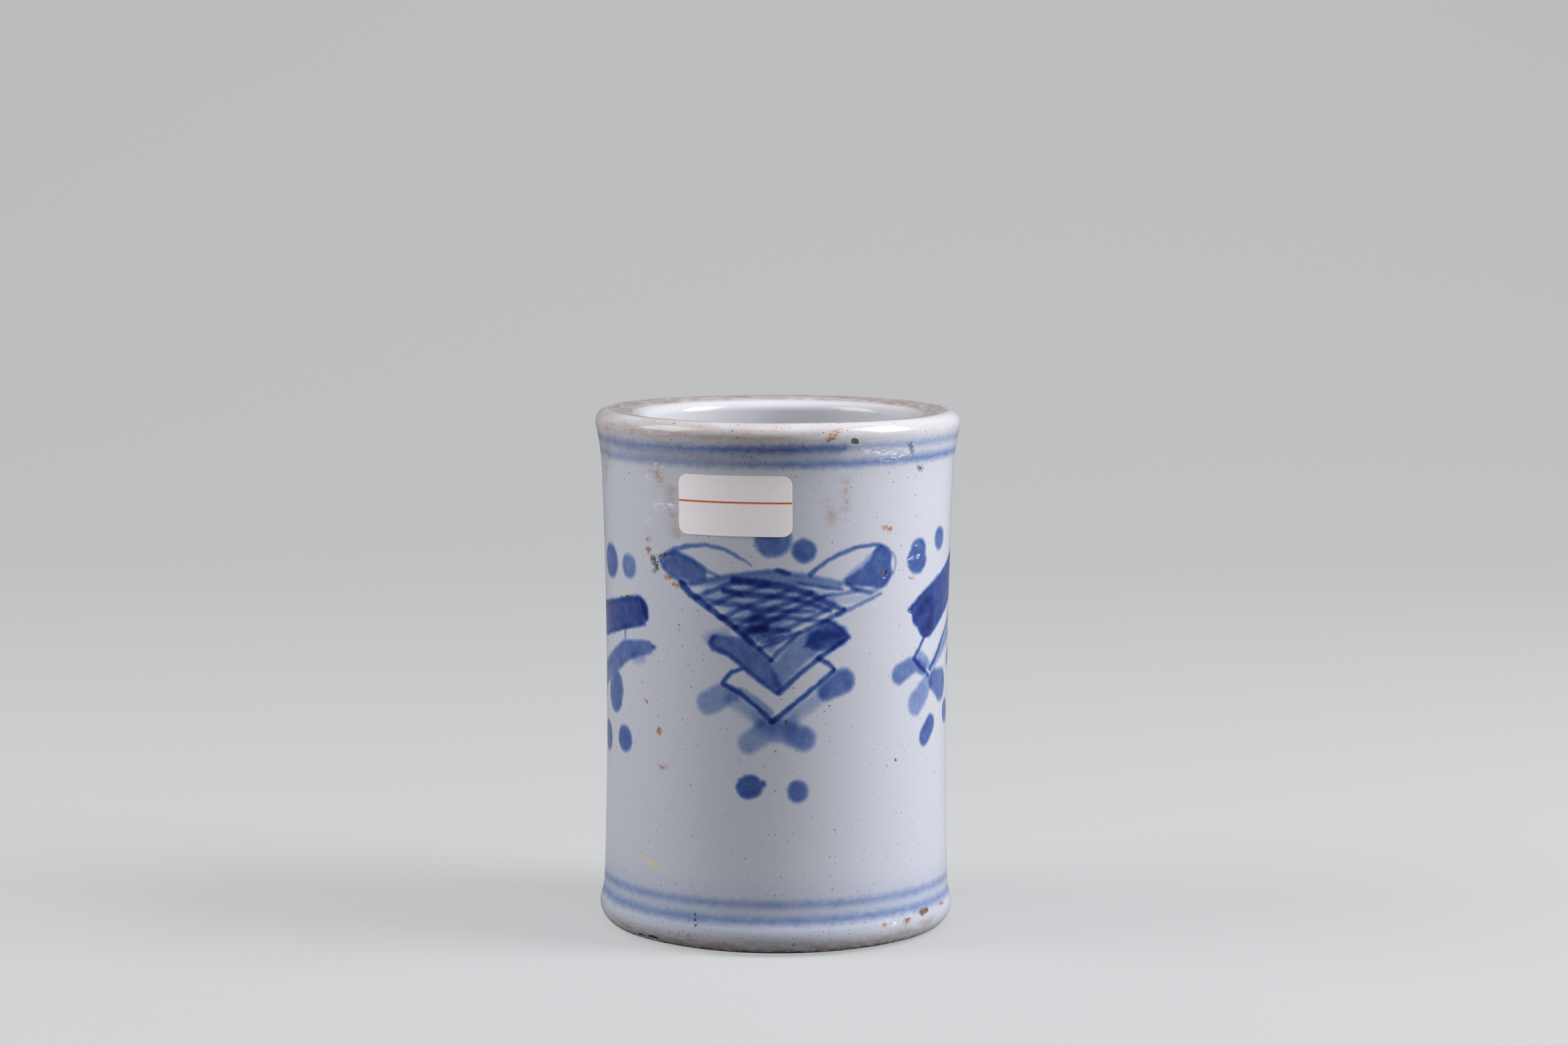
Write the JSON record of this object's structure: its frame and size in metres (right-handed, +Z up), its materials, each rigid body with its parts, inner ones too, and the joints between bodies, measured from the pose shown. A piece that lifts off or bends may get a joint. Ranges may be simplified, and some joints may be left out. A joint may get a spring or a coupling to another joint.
{
  "type": "brush pot",
  "caption": "Thick-walled cylindrical porcelain brush pot with a flared lip, rounded foot and blue painted emblems; stands on a desk and holds writing brushes upright.",
  "frame": {"origin": "middle of the foot, on the table", "axes": "+Z up along the pot's axis; the front, with the middle emblem, faces -Y"},
  "size_m": [0.0914, 0.0914, 0.13],
  "materials": {
    "bare_porcelain": "bare fired clay, off-white, soiled at the foot ring",
    "painted_glaze": "glossy bluish-white glaze over cobalt-blue painting, worn and stained",
    "inside_glaze": "glossy bluish-white glaze, brown wear at the crest of the lip",
    "base_glaze": "glossy bluish-white glaze with fine specks",
    "label_paper": "matte white gummed paper with one thin red and yellow rule"
  },
  "bodies": {
    "root": {"porcelain_body": "bare_porcelain", "outer_glaze": "painted_glaze", "inner_glaze": "inside_glaze", "base_glaze": "base_glaze", "paper_label": "label_paper"}
  },
  "joints": []
}
